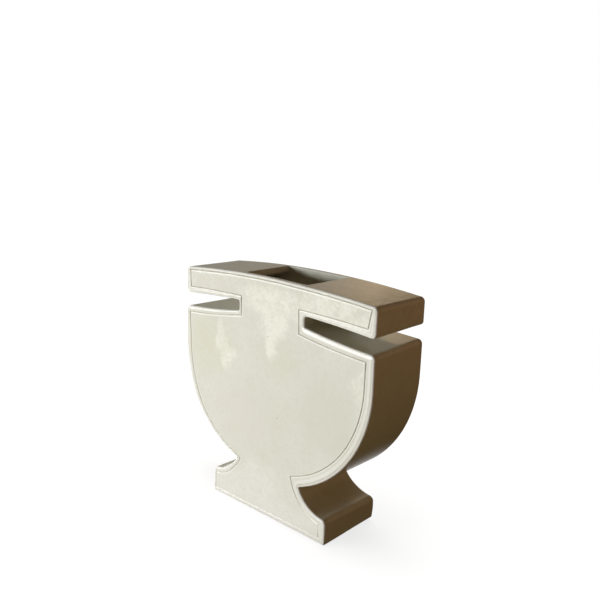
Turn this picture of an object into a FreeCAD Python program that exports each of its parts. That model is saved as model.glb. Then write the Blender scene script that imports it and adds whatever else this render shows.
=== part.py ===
import FreeCAD, Part
import math
import os

import Sketcher
from FreeCAD import Vector

# Hanging wall vase built from flat clay slabs, in the outline of a footed cup. Millimetres.
# X runs across the front, Z is up, and the front face looks towards -Y.
# The origin is the middle of the foot, on the ground and halfway through the depth.

DRIVING_SIZES = {
    "vase_width": 190.0,      # across the collar and across the bowl
    "vase_depth": 55.0,       # front face to back face
    "wall": 5.0,              # every slab
    "foot_width": 120.0,
    "foot_height": 19.0,      # upright end of the foot
    "flare_radius": 27.3,     # hollow curve from the foot to the waist
    "waist_width": 66.0,      # notch to notch
    "waist_rise": 16.4,       # notch above the foot's upright end
    "side_height": 23.7,      # upright side, from the half round bowl to the shoulder
    "shoulder_drop": 6.7,     # fall of the shoulder from the neck to its outer end
    "shoulder_dish": 0.9,     # hollow of that fall
    "neck_width": 65.0,       # between the inner ends of the two slots
    "slot_gap": 8.0,          # slot height at its inner end
    "collar_height": 21.0,    # bar above the slots
    "crown_rise": 4.8,        # how far the collar arches between its ends
    "mouth_width": 60.0,      # opening for stems, as deep as the space between the faces
    "corner_round": 3.5,      # outer corners of the outline
    "foot_round": 1.5,        # bottom corners of the foot
    "front_round": 1.5,       # arris round the front face
    "back_bevel": 1.4,        # arris round the back face, which was only wiped down
    "slot_round": 2.0,        # inner corners of the slots
    "waist_round": 1.0,       # bottom of each notch
    "lip_round": 1.5,         # edges of the mouth
    "line_inset": 4.6,        # incised line, inside the outline of the front face
    "line_width": 0.9,
    "line_depth": 0.7,
    "keyhole_spacing": 36.0,  # between the two hanging holes
    "keyhole_lift": 3.1,      # their entries' centres above the inner end of the shoulder
    "keyhole_head": 9.0,      # lets a screw head in
    "keyhole_shank": 4.6,     # holds the screw's shank
    "keyhole_rise": 9.0,      # from the entry's centre to the shank's seat
    "overrun": 2.0,           # how far cuts run past what they cut
}

# How far each mitre plane reaches past both ends of its mitre, as a share of the mitre
mitre_share = 0.5

# How close an edge must lie to the place where it is looked for, as a share of the wall
near_share = 0.1

# Corners down the right of the outline, in order. The left is their mirror image.
CORNERS = [
    "collar_top",
    "collar_under",
    "slot_top",
    "slot_floor",
    "shoulder",
    "bowl_top",
    "waist",
    "foot_top",
    "foot_bottom",
]

# Curved stretches of the outline, each with the name of its centre
BENDS = {
    ("collar_under", "slot_top"): "under",
    ("slot_floor", "shoulder"): "dish",
    ("bowl_top", "waist"): "bowl",
    ("waist", "foot_top"): "flare",
}

doc = FreeCAD.newDocument("WallVase")

sizes = doc.addObject("Spreadsheet::Sheet", "sizes")
for row, (alias, value) in enumerate(DRIVING_SIZES.items(), start=1):
    sizes.set(f"A{row}", alias)
    sizes.set(f"B{row}", str(value))
    sizes.setAlias(f"B{row}", alias)
doc.recompute()

layout = doc.addObject("App::VarSet", "layout")


def lay(name, rule):
    # One value of the layout, worked out from the sheet and from earlier values
    layout.addProperty("App::PropertyFloat", name, "Layout")
    layout.setExpression(name, rule)


def layPoint(name, x, z):
    lay(f"{name}_x", x)
    lay(f"{name}_z", z)


def place(name):
    return f"layout.{name}_x", f"layout.{name}_z"


def layCentre(name, start, end, toCentre):
    # Centre of an arc that runs down to the right and has its centre above it.
    # toCentre is the distance from the middle of its chord.
    startX, startZ = start
    endX, endZ = end
    lay(f"{name}_chord", f"sqrt(({endX} - {startX})^2 + ({startZ} - {endZ})^2)")
    layPoint(
        f"{name}_centre",
        f"({startX} + {endX}) / 2 + ({startZ} - {endZ}) / layout.{name}_chord * {toCentre}",
        f"({startZ} + {endZ}) / 2 + ({endX} - {startX}) / layout.{name}_chord * {toCentre}",
    )


def sagRadius(chord, rise):
    return f"(({chord} / 2)^2 + {rise}^2) / (2 * {rise})"


lay("half_width", "sizes.vase_width / 2")
lay("half_neck", "sizes.neck_width / 2")
lay("half_waist", "sizes.waist_width / 2")
lay("half_foot", "sizes.foot_width / 2")
lay("half_mouth", "sizes.mouth_width / 2")
lay("half_depth", "sizes.vase_depth / 2")
lay("inner_depth", "sizes.vase_depth - 2 * sizes.wall")

# The bowl is a half circle as wide as the vase, cut off where it meets the foot
layPoint("foot_end", "layout.half_foot", "sizes.foot_height")
layPoint("notch", "layout.half_waist", "sizes.foot_height + sizes.waist_rise")
layPoint(
    "bowl_centre",
    "0",
    "layout.notch_z + sqrt(layout.half_width^2 - layout.half_waist^2)",
)
lay("flare_span", "sqrt((layout.half_foot - layout.half_waist)^2 + sizes.waist_rise^2)")
layCentre(
    "flare",
    place("notch"),
    place("foot_end"),
    "sqrt(sizes.flare_radius^2 - (layout.flare_span / 2)^2)",
)
lay(
    "centres_apart",
    "sqrt(layout.flare_centre_x^2 + (layout.bowl_centre_z - layout.flare_centre_z)^2)",
)

# The shoulder falls from the neck to the outer end in a shallow hollow
layPoint("shoulder_end", "layout.half_width", "layout.bowl_centre_z + sizes.side_height")
layPoint("neck_foot", "layout.half_neck", "layout.shoulder_end_z + sizes.shoulder_drop")
lay("shoulder_span", "sqrt((layout.half_width - layout.half_neck)^2 + sizes.shoulder_drop^2)")
lay("dish_radius", sagRadius("layout.shoulder_span", "sizes.shoulder_dish"))
layCentre(
    "dish",
    place("neck_foot"),
    place("shoulder_end"),
    "(layout.dish_radius - sizes.shoulder_dish)",
)

# The undersides of the collar's wings are one arc, and its top is the same arc, one collar higher
lay("crown_radius", sagRadius("sizes.vase_width", "sizes.crown_rise"))
layPoint(
    "under_centre",
    "0",
    "layout.neck_foot_z + sizes.slot_gap - sqrt(layout.crown_radius^2 - layout.half_neck^2)",
)
layPoint("crown_centre", "0", "layout.under_centre_z + sizes.collar_height")
lay("vase_height", "layout.crown_centre_z + layout.crown_radius")

# The hanging holes stand behind the neck
lay("keyhole_entry", "layout.neck_foot_z + sizes.keyhole_lift")
lay("keyhole_seat", "layout.keyhole_entry + sizes.keyhole_rise")


def layOutline(family, inset):
    # Corners and radii of the outline that lies a distance inset within the silhouette.
    # Arcs with their centre inside the vase shrink by the inset and the others grow by it.
    lay(f"{family}_side", f"layout.half_width - {inset}")
    lay(f"{family}_neck", f"layout.half_neck - {inset}")
    lay(f"{family}_foot", f"layout.half_foot - {inset}")
    lay(f"{family}_crown_radius", f"layout.crown_radius - {inset}")
    lay(f"{family}_under_radius", f"layout.crown_radius + {inset}")
    lay(f"{family}_dish_radius", f"layout.dish_radius + {inset}")
    lay(f"{family}_bowl_radius", f"layout.half_width - {inset}")
    lay(f"{family}_flare_radius", f"sizes.flare_radius + {inset}")

    side = f"layout.{family}_side"
    neck = f"layout.{family}_neck"
    foot = f"layout.{family}_foot"

    def over(radius, centre, across):
        offset = f"({across} - layout.{centre}_centre_x)"
        return f"layout.{centre}_centre_z + sqrt(layout.{family}_{radius}_radius^2 - {offset}^2)"

    def below(radius, centre, across):
        offset = f"({across} - layout.{centre}_centre_x)"
        return f"layout.{centre}_centre_z - sqrt(layout.{family}_{radius}_radius^2 - {offset}^2)"

    layPoint(f"{family}_collar_top", side, over("crown", "crown", side))
    layPoint(f"{family}_collar_under", side, over("under", "under", side))
    layPoint(f"{family}_slot_top", neck, over("under", "under", neck))
    layPoint(f"{family}_slot_floor", neck, below("dish", "dish", neck))
    layPoint(f"{family}_shoulder", side, below("dish", "dish", side))
    layPoint(f"{family}_bowl_top", side, "layout.bowl_centre_z")

    # Where the bowl's circle crosses the flare's
    bowl = f"layout.{family}_bowl_radius"
    flare = f"layout.{family}_flare_radius"
    lay(
        f"{family}_along",
        f"({bowl}^2 - {flare}^2 + layout.centres_apart^2) / (2 * layout.centres_apart)",
    )
    lay(f"{family}_aside", f"sqrt({bowl}^2 - layout.{family}_along^2)")
    across = "layout.flare_centre_x / layout.centres_apart"
    down = "(layout.bowl_centre_z - layout.flare_centre_z) / layout.centres_apart"
    layPoint(
        f"{family}_waist",
        f"layout.{family}_along * {across} - layout.{family}_aside * {down}",
        f"layout.bowl_centre_z - layout.{family}_along * {down} - layout.{family}_aside * {across}",
    )
    layPoint(f"{family}_foot_top", foot, below("flare", "flare", foot))
    layPoint(f"{family}_foot_bottom", foot, inset)


layOutline("outer", "0")
layOutline("cavity", "sizes.wall")
layOutline("line_outer", "sizes.line_inset")
layOutline("line_inner", "(sizes.line_inset + sizes.line_width)")

# Each mitre runs from an outer corner to the cavity's corner behind it
for corner in CORNERS:
    outerX, outerZ = place(f"outer_{corner}")
    cavityX, cavityZ = place(f"cavity_{corner}")
    layPoint(
        f"beyond_{corner}",
        f"{outerX} + ({outerX} - {cavityX}) * {mitre_share}",
        f"{outerZ} + ({outerZ} - {cavityZ}) * {mitre_share}",
    )
    layPoint(
        f"within_{corner}",
        f"{cavityX} - ({outerX} - {cavityX}) * {mitre_share}",
        f"{cavityZ} - ({outerZ} - {cavityZ}) * {mitre_share}",
    )
doc.recompute()


def value(rule):
    return float(layout.evalExpression(rule))


def startBody(name):
    return doc.addObject("PartDesign::Body", name)


def startSketch(body, name, planeRole="XZ_Plane", forward=None):
    # forward is the rule for how far the sketch stands in front of the middle plane
    sketch = body.newObject("Sketcher::SketchObject", name)
    plane = next(o for o in body.Origin.OriginFeatures if o.Role == planeRole)
    sketch.AttachmentSupport = [(plane, "")]
    sketch.MapMode = "FlatFace"
    if forward:
        sketch.setExpression("AttachmentOffset.Base.z", forward)
    return sketch


def bind(sketch, constraint, name, rule):
    index = sketch.addConstraint(constraint)
    sketch.renameConstraint(index, name)
    sketch.setExpression(f"Constraints.{name}", rule)


def addArc(sketch, centre, start, end):
    # The shorter arc between two points, and which of its ends is the start
    radius = math.dist(centre, start)
    turn = [math.atan2(p[1] - centre[1], p[0] - centre[0]) for p in (start, end)]
    forwards = (turn[1] - turn[0]) % (2 * math.pi) < math.pi
    first, last = turn if forwards else reversed(turn)
    circle = Part.Circle(Vector(*centre, 0), Vector(0, 0, 1), radius)
    edge = sketch.addGeometry(Part.ArcOfCircle(circle, first, last))
    return edge, (1 if forwards else 2)


def drawOutline(sketch, family):
    # A closed outline, drawn clockwise from the left end of the collar's top
    corners = [(-1, corner) for corner in reversed(CORNERS)]
    corners = corners[-1:] + [(1, corner) for corner in CORNERS] + corners[:-1]
    points = []
    for side, corner in corners:
        x, z = place(f"{family}_{corner}")
        points.append((side * value(x), value(z)))

    ends = []
    for index, (side, corner) in enumerate(corners):
        following = (index + 1) % len(corners)
        otherSide, other = corners[following]
        start, end = points[index], points[following]
        centre = BENDS.get((corner, other)) or BENDS.get((other, corner))
        if corner == other == "collar_top":
            centre = "crown"
        if centre:
            centreX, centreZ = place(f"{centre}_centre")
            middle = (side * value(centreX), value(centreZ))
            edge, startEnd = addArc(sketch, middle, start, end)
            name = f"{family}_{centre}_{'right' if side > 0 else 'left'}"
            radius = value(f"layout.{family}_{centre}_radius")
            bind(
                sketch,
                Sketcher.Constraint("Radius", edge, radius),
                name,
                f"layout.{family}_{centre}_radius",
            )
        else:
            edge = sketch.addGeometry(Part.LineSegment(Vector(*start, 0), Vector(*end, 0)))
            startEnd = 1
        ends.append((edge, startEnd))

    for index, (edge, startEnd) in enumerate(ends):
        before, beforeStart = ends[index - 1]
        sketch.addConstraint(
            Sketcher.Constraint("Coincident", before, 3 - beforeStart, edge, startEnd)
        )
    rightEnds = {}
    for (side, corner), end in zip(corners, ends):
        if side > 0:
            rightEnds[corner] = end
            x, z = place(f"{family}_{corner}")
            bind(
                sketch,
                Sketcher.Constraint("DistanceX", -1, 1, *end, value(x)),
                f"{family}_{corner}_x",
                x,
            )
            bind(
                sketch,
                Sketcher.Constraint("DistanceY", -1, 1, *end, value(z)),
                f"{family}_{corner}_z",
                z,
            )
    for (side, corner), end in zip(corners, ends):
        if side < 0:
            sketch.addConstraint(Sketcher.Constraint("Symmetric", *end, *rightEnds[corner], -2))


def drawPolygon(sketch, corners):
    # A closed polygon whose corners are pairs of rules
    points = [(value(x), value(z)) for x, z in corners]
    for index, point in enumerate(points):
        end = points[(index + 1) % len(points)]
        sketch.addGeometry(Part.LineSegment(Vector(*point, 0), Vector(*end, 0)))
    for index, (x, z) in enumerate(corners):
        before = (index - 1) % len(corners)
        sketch.addConstraint(Sketcher.Constraint("Coincident", before, 2, index, 1))
        bind(
            sketch,
            Sketcher.Constraint("DistanceX", -1, 1, index, 1, value(x)),
            f"corner{index}_x",
            x,
        )
        bind(
            sketch,
            Sketcher.Constraint("DistanceY", -1, 1, index, 1, value(z)),
            f"corner{index}_z",
            z,
        )


def sweepSketch(body, kind, sketch, name, length, reverse, centred):
    feature = body.newObject(kind, name)
    feature.Profile = sketch
    feature.setExpression("Length", length)
    feature.SideType = "Symmetric" if centred else "One side"
    feature.Reversed = reverse
    doc.recompute()


def pad(body, sketch, name, length, reverse=False, centred=False):
    sweepSketch(body, "PartDesign::Pad", sketch, name, length, reverse, centred)


def pocket(body, sketch, name, length, reverse=False, centred=False):
    before = body.Shape.Volume
    sweepSketch(body, "PartDesign::Pocket", sketch, name, length, reverse, centred)
    if body.Shape.Volume >= before:
        raise RuntimeError(f"{name} cut nothing")


def softenEdges(body, kind, name, wanted, sizeName, size):
    # Softens the edges of the body's shape so far that a test picks out
    base = body.Tip
    picked = [f"Edge{i}" for i, edge in enumerate(base.Shape.Edges, start=1) if wanted(edge)]
    if not picked:
        raise RuntimeError(f"{name} found no edge")
    feature = body.newObject(kind, name)
    feature.Base = (base, picked)
    feature.setExpression(sizeName, size)
    doc.recompute()


def roundEdges(body, name, radius, wanted):
    softenEdges(body, "PartDesign::Fillet", name, wanted, "Radius", radius)


def bevelEdges(body, name, size, wanted):
    softenEdges(body, "PartDesign::Chamfer", name, wanted, "Size", size)


def cornerEdges(*rules):
    # Tests for the edges that run through the depth at these corners, left and right
    near = value("sizes.wall") * near_share
    corners = [(value(x), value(z)) for x, z in rules]

    def wanted(edge):
        ends = [vertex.Point for vertex in edge.Vertexes]
        if len(ends) < 2 or abs(ends[0].y - ends[1].y) < near:
            return False
        middle = (ends[0] + ends[1]) / 2
        return any(
            math.hypot(abs(middle.x) - x, middle.z - z) < near
            and abs(ends[0].x - ends[1].x) < near
            for x, z in corners
        )

    return wanted


def faceEdges(y):
    # Tests for the edges that lie on one face of a slab
    near = value("sizes.wall") * near_share
    return lambda edge: all(abs(vertex.Point.y - y) < near for vertex in edge.Vertexes)


def roundCorners(body):
    # Every corner of the outline, before the faces are softened
    names = ("collar_top", "collar_under", "shoulder", "foot_top")
    outwards = cornerEdges(*[place(f"outer_{name}") for name in names])
    roundEdges(body, f"{body.Name}_corners", "sizes.corner_round", outwards)
    foot = cornerEdges(place("outer_foot_bottom"))
    roundEdges(body, f"{body.Name}_foot", "sizes.foot_round", foot)
    slots = cornerEdges(place("outer_slot_top"), place("outer_slot_floor"))
    roundEdges(body, f"{body.Name}_slots", "sizes.slot_round", slots)
    waist = cornerEdges(place("outer_waist"))
    roundEdges(body, f"{body.Name}_waist", "sizes.waist_round", waist)


def makeFrontSlab():
    body = startBody("front_slab")
    outline = startSketch(body, "front_outline", forward="layout.half_depth")
    drawOutline(outline, "outer")
    pad(body, outline, "front_clay", "sizes.wall", reverse=True)
    roundCorners(body)
    roundEdges(body, "front_arris", "sizes.front_round", faceEdges(-value("layout.half_depth")))
    line = startSketch(body, "front_line", forward="layout.half_depth")
    drawOutline(line, "line_outer")
    drawOutline(line, "line_inner")
    pocket(body, line, "incised_line", "sizes.line_depth")
    return body


def drawKeyhole(sketch, side):
    # A round entry with a narrower slot above it, closed by a half round
    name = "right" if side > 0 else "left"
    centreX = f"{side} * sizes.keyhole_spacing / 2"
    x = value(centreX)
    low = value("layout.keyhole_entry")
    seat = value("layout.keyhole_seat")
    half = value("sizes.keyhole_shank / 2")
    head = value("sizes.keyhole_head / 2")
    join = low + math.sqrt(head**2 - half**2)
    turn = math.asin(half / head)
    quarter = math.pi / 2
    upwards = Vector(0, 0, 1)
    entryCircle = Part.Circle(Vector(x, low, 0), upwards, head)
    entry = sketch.addGeometry(
        Part.ArcOfCircle(entryCircle, quarter + turn, quarter - turn + 4 * quarter)
    )
    right = sketch.addGeometry(Part.LineSegment(Vector(x + half, join, 0), Vector(x + half, seat, 0)))
    seatCircle = Part.Circle(Vector(x, seat, 0), upwards, half)
    seatArc = sketch.addGeometry(Part.ArcOfCircle(seatCircle, 0, 2 * quarter))
    left = sketch.addGeometry(Part.LineSegment(Vector(x - half, seat, 0), Vector(x - half, join, 0)))
    sketch.addConstraint(Sketcher.Constraint("Coincident", entry, 2, right, 1))
    sketch.addConstraint(Sketcher.Constraint("Tangent", right, 2, seatArc, 1))
    sketch.addConstraint(Sketcher.Constraint("Tangent", seatArc, 2, left, 1))
    sketch.addConstraint(Sketcher.Constraint("Coincident", left, 2, entry, 1))
    sketch.addConstraint(Sketcher.Constraint("Vertical", right))
    sketch.addConstraint(Sketcher.Constraint("Vertical", left))
    for kind, end, rule, part in (
        ("DistanceX", (entry, 3), centreX, "x"),
        ("DistanceY", (entry, 3), "layout.keyhole_entry", "z"),
        ("DistanceX", (seatArc, 3), centreX, "seat_x"),
        ("DistanceY", (seatArc, 3), "layout.keyhole_seat", "seat_z"),
    ):
        bind(
            sketch,
            Sketcher.Constraint(kind, -1, 1, *end, value(rule)),
            f"{name}_{part}",
            rule,
        )
    for edge, rule, part in (
        (entry, "sizes.keyhole_head / 2", "head"),
        (seatArc, "sizes.keyhole_shank / 2", "shank"),
    ):
        bind(sketch, Sketcher.Constraint("Radius", edge, value(rule)), f"{name}_{part}", rule)


def makeBackSlab():
    body = startBody("back_slab")
    outline = startSketch(body, "back_outline", forward="-layout.half_depth")
    drawOutline(outline, "outer")
    pad(body, outline, "back_clay", "sizes.wall")
    roundCorners(body)
    bevelEdges(body, "back_arris", "sizes.back_bevel", faceEdges(value("layout.half_depth")))
    holes = startSketch(body, "keyholes", forward="-layout.half_depth - sizes.overrun")
    for side in (-1, 1):
        drawKeyhole(holes, side)
    pocket(body, holes, "hanging_keyholes", "sizes.wall + 2 * sizes.overrun", reverse=True)
    return body


def makeBand():
    # The wall that stands between the two faces all the way round, before it is mitred
    body = startBody("wall_band")
    outline = startSketch(body, "band_outline")
    drawOutline(outline, "outer")
    pad(body, outline, "band_clay", "layout.inner_depth", centred=True)
    hollow = startSketch(body, "band_hollow")
    drawOutline(hollow, "cavity")
    through = "layout.inner_depth + 2 * sizes.overrun"
    pocket(body, hollow, "cavity", through, centred=True)
    mouth = startSketch(body, "band_mouth")
    mouthFloor = "(layout.vase_height - 2 * sizes.wall)"
    mouthTop = "(layout.vase_height + sizes.overrun)"
    drawPolygon(
        mouth,
        [
            ("-layout.half_mouth", mouthFloor),
            ("layout.half_mouth", mouthFloor),
            ("layout.half_mouth", mouthTop),
            ("-layout.half_mouth", mouthTop),
        ],
    )
    pocket(body, mouth, "mouth", through, centred=True)
    roundCorners(body)
    lipZ = "layout.crown_centre_z + sqrt(layout.{}crown_radius^2 - layout.half_mouth^2)"
    roundEdges(
        body,
        "mouth_lips",
        "sizes.lip_round",
        cornerEdges(
            ("layout.half_mouth", lipZ.format("")),
            ("layout.half_mouth", lipZ.format("cavity_")),
        ),
    )
    return body


def makeStrip(name, corners):
    # The stretch of the band that lies inside a block bounded by its mitre planes
    block = startBody(f"{name}_block")
    sketch = startSketch(block, f"{name}_mitres")
    drawPolygon(sketch, corners)
    pad(block, sketch, f"{name}_reach", "sizes.vase_depth", centred=True)
    strip = doc.addObject("Part::Common", name)
    strip.Base = band
    strip.Tool = block
    strip.Refine = True
    return strip


def mirrorStrip(strip, name):
    mirrored = doc.addObject("Part::Mirroring", name)
    mirrored.Source = strip
    mirrored.Base = Vector(0, 0, 0)
    mirrored.Normal = Vector(1, 0, 0)
    return mirrored


def beyond(corner):
    return place(f"beyond_{corner}")


def within(corner):
    return place(f"within_{corner}")


band = makeBand()

topClear = "layout.vase_height + sizes.overrun"
STRIPS = {
    "top_plate": [
        beyond("collar_top"),
        within("collar_top"),
        ("0", within("collar_top")[1]),
        ("0", topClear),
    ],
    "collar_end": [
        beyond("collar_top"),
        beyond("collar_under"),
        within("collar_under"),
        within("collar_top"),
    ],
    "collar_floor": [
        beyond("collar_under"),
        beyond("slot_top"),
        within("slot_top"),
        within("collar_under"),
    ],
    "neck_wall": [
        beyond("slot_top"),
        beyond("slot_floor"),
        within("slot_floor"),
        within("slot_top"),
    ],
    "shoulder": [
        beyond("slot_floor"),
        beyond("shoulder"),
        within("shoulder"),
        within("slot_floor"),
    ],
    "bowl_wall": [
        beyond("shoulder"),
        (beyond("shoulder")[0], beyond("waist")[1]),
        beyond("waist"),
        within("waist"),
        within("shoulder"),
    ],
    "foot_flare": [
        beyond("waist"),
        beyond("foot_top"),
        within("foot_top"),
        (within("waist")[0], within("foot_top")[1]),
        within("waist"),
    ],
    "foot_end": [
        beyond("foot_top"),
        beyond("foot_bottom"),
        within("foot_bottom"),
        within("foot_top"),
    ],
}

pieces = [makeFrontSlab(), makeBackSlab()]
for stripName, stripCorners in STRIPS.items():
    right = makeStrip(f"{stripName}_right", stripCorners)
    pieces += [right, mirrorStrip(right, f"{stripName}_left")]

footX, footZ = beyond("foot_bottom")
innerX, innerZ = within("foot_bottom")
pieces.append(
    makeStrip(
        "base_slab",
        [(f"-{footX}", footZ), (footX, footZ), (innerX, innerZ), (f"-{innerX}", innerZ)],
    )
)
doc.recompute()

for thing in doc.Objects:
    if "Invalid" in thing.State or "Error" in thing.State:
        raise RuntimeError(f"{thing.Label} failed: {thing.State}")

for piece in pieces:
    piece.Label = piece.Name
    shape = piece.Shape
    if shape.isNull() or not shape.isValid() or len(shape.Solids) != 1:
        raise RuntimeError(f"{piece.Label} isn't one valid solid")

os.makedirs("parts", exist_ok=True)
for piece in pieces:
    piece.Shape.exportStep(os.path.join("parts", f"{piece.Label}.step"))
    print(f"{piece.Label}: {piece.Shape.Volume / 1000:.2f} cubic centimetres")
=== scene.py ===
import math
import random

import bmesh
import bpy
from mathutils import Matrix, Vector, kdtree
from mathutils.geometry import delaunay_2d_cdt


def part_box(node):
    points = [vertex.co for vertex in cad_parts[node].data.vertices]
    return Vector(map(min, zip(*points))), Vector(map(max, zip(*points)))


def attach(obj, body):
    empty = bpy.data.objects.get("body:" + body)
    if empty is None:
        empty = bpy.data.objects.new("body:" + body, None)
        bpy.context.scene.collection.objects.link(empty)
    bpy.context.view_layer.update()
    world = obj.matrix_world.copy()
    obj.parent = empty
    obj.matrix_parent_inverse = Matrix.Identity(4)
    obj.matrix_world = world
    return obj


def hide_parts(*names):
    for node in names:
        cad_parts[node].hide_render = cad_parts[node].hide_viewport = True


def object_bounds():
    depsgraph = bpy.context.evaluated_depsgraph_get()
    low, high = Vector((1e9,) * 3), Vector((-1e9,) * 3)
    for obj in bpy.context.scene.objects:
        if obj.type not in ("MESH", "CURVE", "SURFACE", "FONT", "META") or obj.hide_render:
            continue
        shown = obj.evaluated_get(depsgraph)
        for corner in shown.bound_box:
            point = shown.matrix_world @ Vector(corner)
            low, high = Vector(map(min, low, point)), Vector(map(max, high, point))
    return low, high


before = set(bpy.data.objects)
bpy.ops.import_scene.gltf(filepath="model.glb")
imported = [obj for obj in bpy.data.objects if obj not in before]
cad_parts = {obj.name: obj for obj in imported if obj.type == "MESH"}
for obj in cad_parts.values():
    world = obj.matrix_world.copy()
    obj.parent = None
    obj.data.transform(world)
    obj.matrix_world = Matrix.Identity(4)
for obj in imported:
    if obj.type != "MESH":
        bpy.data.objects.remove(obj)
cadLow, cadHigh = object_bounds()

mm = 0.001
joined = 2e-6  # points closer than this are one
sliver = 1e-7  # faces thinner than this are dropped
scene = bpy.context.scene


# The outline of a footed cup, which both faces and every wall follow
outline = {
    "crownRise": 4.8 * mm,  # arch of the collar's top
    "collarHeight": 21.0 * mm,
    "slotGap": 8.0 * mm,  # at the slot's inner end
    "shoulderDrop": 6.7 * mm,
    "shoulderDish": 0.9 * mm,
    "sideHeight": 23.7 * mm,  # upright side above the half round bowl
    "waistHalf": 33.0 * mm,
    "waistRise": 16.4 * mm,  # notch above the foot's upright end
    "footHeight": 19.0 * mm,
    "flareRadius": 27.3 * mm,
    "mouthHalf": 30.0 * mm,
    "cornerRound": 3.5 * mm,
    "footRound": 1.5 * mm,
    "slotRound": 2.0 * mm,
    "waistRound": 1.0 * mm,
    "sharpest": 0.35 * mm,  # the least round that any corner gets
    "spacing": 2.1 * mm,  # between points along the outline
    "leastPieces": 4,  # that a stretch between two corners is cut into
    "cornerPoints": 9,
    "tangentShare": 0.03,  # of a stretch, over which its direction at a corner is taken
    "bowlBlend": 2.0 * mm,  # reach of the points where the side runs into the bowl
}

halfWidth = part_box("front_slab")[1].x
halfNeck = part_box("neck_wall_right")[1].x
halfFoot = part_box("base_slab")[1].x
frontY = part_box("front_slab")[0].y
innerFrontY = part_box("front_slab")[1].y
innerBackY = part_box("back_slab")[0].y
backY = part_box("back_slab")[1].y
wall = innerFrontY - frontY


def arcCentre(start, end, toCentre):
    # Centre above a falling chord, toCentre away from the chord's middle
    span = math.dist(start, end)
    along = ((end[0] - start[0]) / span, (end[1] - start[1]) / span)
    middle = ((start[0] + end[0]) / 2, (start[1] + end[1]) / 2)
    return (middle[0] - along[1] * toCentre, middle[1] + along[0] * toCentre)


def sagRadius(chord, rise):
    return ((chord / 2) ** 2 + rise**2) / (2 * rise)


waist = (outline["waistHalf"], outline["footHeight"] + outline["waistRise"])
footTop = (halfFoot, outline["footHeight"])
bowlZ = waist[1] + math.sqrt(halfWidth**2 - waist[0] ** 2)
shoulderZ = bowlZ + outline["sideHeight"]
slotFloorZ = shoulderZ + outline["shoulderDrop"]
slotTopZ = slotFloorZ + outline["slotGap"]
crown = sagRadius(2 * halfWidth, outline["crownRise"])
underZ = slotTopZ - math.sqrt(crown**2 - halfNeck**2)
crownTop = underZ + outline["collarHeight"] + crown
shoulder = ((halfNeck, slotFloorZ), (halfWidth, shoulderZ))
dish = sagRadius(math.dist(*shoulder), outline["shoulderDish"])
flareReach = math.sqrt(outline["flareRadius"] ** 2 - (math.dist(waist, footTop) / 2) ** 2)

# Down the right: kind, centre or None, radius or place, and which way an inset moves it
stretches = {
    "crown": ("arc", (0.0, underZ + outline["collarHeight"]), crown, -1),
    "collarEnd": ("upright", None, halfWidth, -1),
    "under": ("arc", (0.0, underZ), crown, 1),
    "slotEnd": ("upright", None, halfNeck, -1),
    "shoulder": ("arc", arcCentre(*shoulder, dish - outline["shoulderDish"]), dish, 1),
    "side": ("upright", None, halfWidth, -1),
    "bowl": ("arc", (0.0, bowlZ), halfWidth, -1),
    "flare": ("arc", arcCentre(waist, footTop, flareReach), outline["flareRadius"], 1),
    "footEnd": ("upright", None, halfFoot, -1),
    "base": ("level", None, 0.0, 1),
}

# Between them: name, rough place, round, and whether the clay turns inwards there
kinds = [
    ("collarTop", (halfWidth, crownTop), "cornerRound", False),
    ("collarUnder", (halfWidth, slotTopZ), "cornerRound", False),
    ("slotTop", (halfNeck, slotTopZ), "slotRound", True),
    ("slotFloor", (halfNeck, slotFloorZ), "slotRound", True),
    ("shoulderEnd", (halfWidth, shoulderZ), "cornerRound", False),
    ("bowlTop", (halfWidth, bowlZ), None, False),
    ("waist", waist, "waistRound", True),
    ("footTop", footTop, "cornerRound", False),
    ("footBottom", (halfFoot, 0.0), "footRound", False),
]

# Every corner as (side, stretch before, stretch after), down the right and up the left
corners = [(1, a, b) for a, b in zip(stretches, list(stretches)[1:])]
corners += [(-1, b, a) for _, a, b in reversed(corners)]
kinds += kinds[::-1]


def meet(first, second, firstInset, secondInset, near):
    # Where two inset stretches cross, on the right half
    lines = {}
    arcs = []
    for (kind, centre, size, turn), inset in ((first, firstInset), (second, secondInset)):
        if kind == "arc":
            arcs.append((centre, size + turn * inset))
        else:
            lines[kind] = size + turn * inset
    if len(lines) == 2:
        return (lines["upright"], lines["level"])
    if len(arcs) == 1:
        (x, z), radius = arcs[0]
        across = lines["upright"]
        reach = math.sqrt(max(radius**2 - (across - x) ** 2, 0.0))
        return min(((across, z + reach), (across, z - reach)), key=lambda p: math.dist(p, near))
    (a, ra), (b, rb) = arcs
    apart = math.dist(a, b)
    ux, uz = (b[0] - a[0]) / apart, (b[1] - a[1]) / apart
    along = (ra**2 - rb**2 + apart**2) / (2 * apart)
    aside = math.sqrt(max(ra**2 - along**2, 0.0))
    places = [
        (a[0] + ux * along - uz * aside * s, a[1] + uz * along + ux * aside * s) for s in (-1, 1)
    ]
    return min(places, key=lambda p: math.dist(p, near))


def between(name, side, start, end, share):
    # A point of a stretch between two of its places, kept on its bend
    kind, centre, _, _ = stretches[name]
    if kind != "arc":
        return (start[0] + (end[0] - start[0]) * share, start[1] + (end[1] - start[1]) * share)
    x, z = centre[0] * side, centre[1]
    angles = [math.atan2(p[1] - z, p[0] - x) for p in (start, end)]
    turn = (angles[1] - angles[0] + math.pi) % (2 * math.pi) - math.pi
    radii = [math.dist(p, (x, z)) for p in (start, end)]
    radius = radii[0] + (radii[1] - radii[0]) * share
    angle = angles[0] + turn * share
    return (x + radius * math.cos(angle), z + radius * math.sin(angle))


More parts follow.
